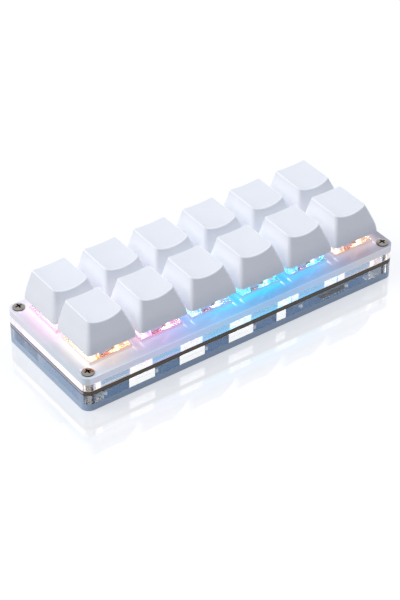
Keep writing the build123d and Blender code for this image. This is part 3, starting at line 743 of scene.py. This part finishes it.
def draw_up(bm, face, old, new):
    """Draws a face from one ring of sizes to the next."""
    drawn = bmesh.ops.extrude_face_region(bm, geom=[face, *face.edges])["geom"]
    for vert in [item for item in drawn if isinstance(item, bmesh.types.BMVert)]:
        at_back = vert.co.y > (old.front + old.back) / 2
        ends = []
        for ring in (old, new):
            x = math.copysign(ring.half - ring.corner, vert.co.x)
            y = ring.back - ring.corner if at_back else ring.front + ring.corner
            ends.append(Vector((x, y, ring.height)))
        vert.co = ends[1] + (vert.co - ends[0]) * new.corner / old.corner
    return next(item for item in drawn if isinstance(item, bmesh.types.BMFace))


def keycap_form():
    """One keycap round the Z axis, with its skirt at height 0."""
    bm = bmesh.new()
    bmesh.ops.create_grid(bm, x_segments=1, y_segments=1, size=cap_half)
    bmesh.ops.bevel(
        bm, geom=bm.verts[:], offset=cap_corner, offset_type="OFFSET", affect="VERTICES",
        segments=corner_steps, profile=0.5, material=-1,
    )
    bm.faces.ensure_lookup_table()
    mouth = bm.faces[0]
    band_half = cap_half - cap_draft
    base = Ring(cap_half, -cap_half, cap_half, cap_corner, 0)
    band = Ring(band_half, -band_half, band_half, cap_corner, cap_band)
    edge = Ring(cap_top_half, cap_top_front, cap_top_back, cap_top_corner, cap_height)
    rim = mixed(edge, band, cap_rim / cap_rise)
    lean_start = mixed(band, edge, cap_turn / cap_rise)
    roof = drawn_in(edge, cap_rim, cap_top_corner / 2)
    rings = [base, *rounded(base, band, lean_start, turn_steps), rim, *rounded(rim, edge, roof, rim_steps)]
    face = mouth
    for old, new in zip(rings, rings[1:]):
        face = draw_up(bm, face, old, new)
    outside = [item for item in bm.faces if item is not mouth]
    slice_half = cap_top_half - cap_top_corner
    for step in range(dish_slices + 1):
        place = slice_half * (2 * step / dish_slices - 1)
        outside = sliced(bm, outside, (place, 0, 0), (1, 0, 0))
    for item in outside:
        lowest = min(vert.co.z for vert in item.verts)
        item.material_index = int(rim.height - merge_distance < lowest < cap_height - merge_distance)
    lean_side = (band_half - cap_top_half) / cap_rise
    lean_front = (band_half + cap_top_front) / cap_rise
    lean_back = (band_half - cap_top_back) / cap_rise
    for vert in [item for item in bm.verts if item.co.z > rim.height - merge_distance]:
        lean_y = lean_back if vert.co.y > (cap_top_front + cap_top_back) / 2 else -lean_front
        lean = Vector((lean_side * vert.co.x / cap_top_half, lean_y, -1))
        vert.co += dish_depth(vert.co.x, vert.co.y) * lean
    bmesh.ops.inset_region(bm, faces=[mouth], thickness=cap_wall, use_even_offset=True)
    hollow_top = cap_height - cap_roof
    inner_skirt = drawn_in(base, cap_wall, cap_inner_corner)
    inner_band = drawn_in(band, cap_wall, cap_inner_corner)
    inner_roof = drawn_in(mixed(band, edge, (hollow_top - cap_band) / cap_rise), cap_wall, cap_inner_corner)
    mouth = draw_up(bm, mouth, inner_skirt, inner_band)
    draw_up(bm, mouth, inner_band, inner_roof)
    bmesh.ops.recalc_face_normals(bm, faces=bm.faces[:])
    ends = ((0, tube_recess), (tube_radius, tube_recess), (tube_radius, hollow_top), (0, hollow_top))
    tube = turned(ends, tube_steps)
    under = [face for face in tube.faces if face.calc_center_median().z < tube_recess + merge_distance]
    cut_cross(tube, under, socket_length, socket_width, (0, 0, socket_depth))
    bm.from_mesh(mesh_from("tube_form", tube))
    return bm


cap_white, tree, shader = new_finish("keycap_white", IOR=1.5, Emission_Color=screen("EEF0FA"))
mottled = blend(tree, grain(tree, 9 * mm, 0.0, 1.0), screen("F5F6F8"), screen("F2F3F6"))
tree.links.new(mottled, shader.inputs["Base Color"])
roughen(tree, shader, 0.25 * mm, 0.38, 0.5)
skin = grain(tree, skin_grain, 0.0, 1.0)
bump = add(tree, "ShaderNodeBump", {"Height": skin, "Strength": 0.06, "Distance": skin_depth})
tree.links.new(bump.outputs["Normal"], shader.inputs["Normal"])
# Painted light: a faint glow on the side faces in the gaps between the caps, where the light of the switches
# spills up.
x = object_place(tree)["X"]
facing = add(tree, "ShaderNodeNewGeometry").outputs["Normal"]
sideways = maths(tree, "ABSOLUTE", add(tree, "ShaderNodeSeparateXYZ", {"Vector": facing}).outputs["X"])
on_side = fade(tree, sideways, facing_start, facing_full, 0.0, spill_level)
in_gap = fade(tree, column_reach(tree, x), gap_start, gap_full, 0.0, 1.0)
inner = maths(tree, "LESS_THAN", maths(tree, "ABSOLUTE", x), last_column + key_pitch / 4)
spill = maths(tree, "MULTIPLY", maths(tree, "MULTIPLY", on_side, in_gap), inner)
tree.links.new(spill, shader.inputs["Emission Strength"])
# Painted highlight: the rim faces are lighter than the rest and glow faintly.
rim_highlight, tree, shader = new_finish(
    "keycap_rim_highlight", IOR=1.5, Base_Color=screen("F7F8FA"), Emission_Color=white, Emission_Strength=0.1
)
roughen(tree, shader, 0.25 * mm, 0.25, 0.35)
cap_form = mesh_from("cap_form", keycap_form())
for number in key_numbers:
    centre = key_centres[number]
    placed = bmesh.new()
    placed.from_mesh(cap_form)
    bmesh.ops.translate(placed, verts=placed.verts, vec=(centre.x, centre.y, cap_low.z))
    make_piece(
        f"cap_{number}", placed, [cap_white, rim_highlight], f"key_{number}", f"keycap_{number}"
    )

# Stage: a pale, polished floor under a white surround, which also shows in the acrylic.
# A broad lamp stands high on either side, and the bluish surround fills the faces between them.
scene = bpy.context.scene
floor_half = 3.0
floor_drop = 0.1 * mm
floor_white = 0.56
fill_level = 0.36
fill_colour = (0.88, 0.98, 1.22, 1)
lamp_distance = 1.2
lamp_size = 1.0
lamps = {"left_lamp": ((-0.67, 0.25, 0.7), 8.5), "right_lamp": ((0.7, 0.2, 0.68), 5.0)}
camera_place = Vector((-301.3, -411.3, 392.25)) * mm
camera_aim = Vector((6.95, 11.89, -8.16)) * mm
camera_roll = math.radians(0.40)


def seen_directly(tree):
    """1 for a ray from the camera, a mirror or glass, and 0 for one that only gathers light."""
    path = add(tree, "ShaderNodeLightPath").outputs
    seen = maths(tree, "MAXIMUM", path["Is Camera Ray"], path["Is Glossy Ray"])
    return maths(tree, "MAXIMUM", seen, path["Is Transmission Ray"])


pale, tree, shader = new_finish(
    "pale_floor", Base_Color=(0.4, 0.4, 0.4, 1), Roughness=0.02, IOR=2.5,
    Emission_Color=(0.975, 0.985, 1.0, 1),
)
tree.links.new(maths(tree, "MULTIPLY", seen_directly(tree), floor_white), shader.inputs["Emission Strength"])
floor_form = bmesh.new()
bmesh.ops.create_grid(
    floor_form, x_segments=1, y_segments=1, size=floor_half, matrix=Matrix.Translation((0, 0, -floor_drop))
)
floor = bpy.data.objects.new("floor", mesh_from("floor", floor_form))
floor.data.materials.append(pale)
scene.collection.objects.link(floor)

surround = bpy.data.worlds.new("surround")
surround.use_nodes = True
scene.world = surround
tree = surround.node_tree
background = tree.nodes["Background"]
seen = seen_directly(tree)
tree.links.new(blend(tree, seen, fill_colour, white), background.inputs["Color"])
tree.links.new(maths(tree, "MAXIMUM", seen, fill_level), background.inputs["Strength"])

for name, (towards, energy) in lamps.items():
    lamp_data = bpy.data.lights.new(name, "AREA")
    lamp_data.shape = "DISK"
    lamp_data.size = lamp_size
    lamp_data.energy = energy
    lamp_data.color = (1.0, 0.99, 0.97)
    lamp = bpy.data.objects.new(name, lamp_data)
    lamp.location = lamp_distance * Vector(towards)
    lamp.visible_glossy = False
    lamp.rotation_euler = (-lamp.location).to_track_quat("-Z", "Y").to_euler()
    scene.collection.objects.link(lamp)

camera_data = bpy.data.cameras.new("camera")
camera_data.sensor_fit = "VERTICAL"
camera_data.sensor_height = 36.0
camera_data.lens = 118.85
camera = bpy.data.objects.new("camera", camera_data)
camera.location = camera_place
look = (camera_aim - camera_place).to_track_quat("-Z", "Y")
camera.rotation_euler = (look @ Quaternion((0, 0, 1), camera_roll)).to_euler()
scene.collection.objects.link(camera)
scene.camera = camera
scene.view_settings.view_transform = "Standard"
scene.cycles.max_bounces = 24
scene.cycles.diffuse_bounces = 12
scene.cycles.glossy_bounces = 16
scene.cycles.transmission_bounces = 24
